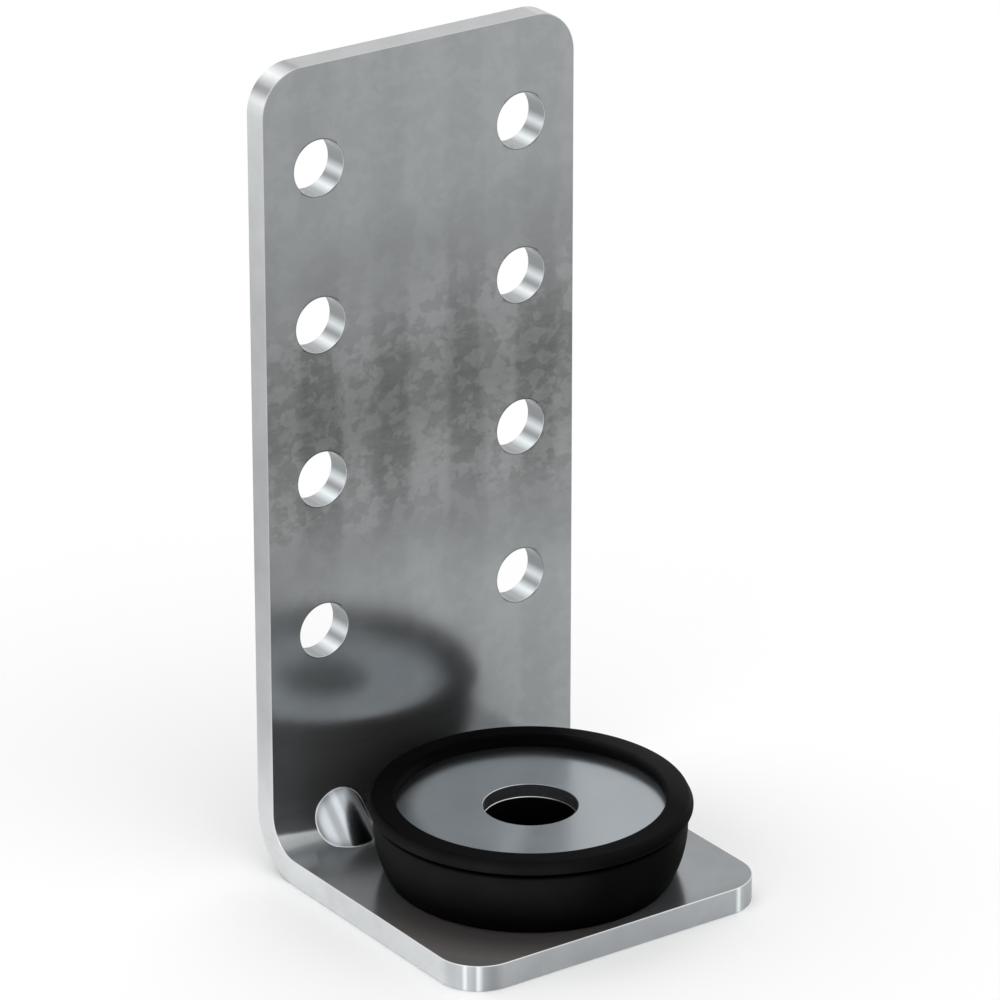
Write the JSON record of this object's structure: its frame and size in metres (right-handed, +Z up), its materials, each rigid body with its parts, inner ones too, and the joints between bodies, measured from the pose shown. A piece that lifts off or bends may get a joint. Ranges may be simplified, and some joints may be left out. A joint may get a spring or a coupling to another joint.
{
  "type": "angle bracket with rubber mount",
  "caption": "Folded galvanised steel angle bracket with screw holes up its leg and, on its foot, a round rubber mount holding a recessed steel washer for a threaded rod.",
  "frame": {"origin": "where the rod bore's axis meets the underside of the foot", "axes": "+Z up the leg and along the rod bore, +Y out of the leg's back towards the wall, +X across the strip"},
  "size_m": [0.04, 0.0409, 0.092],
  "materials": {
    "galvanised_steel": "satin zinc coat with a faint mottle",
    "black_rubber": "moulded, satin",
    "zinc_plated_steel": "satin zinc plate"
  },
  "bodies": {
    "root": {"bracket": "galvanised_steel", "rubber_mount": "black_rubber", "washer": "zinc_plated_steel"}
  },
  "joints": []
}
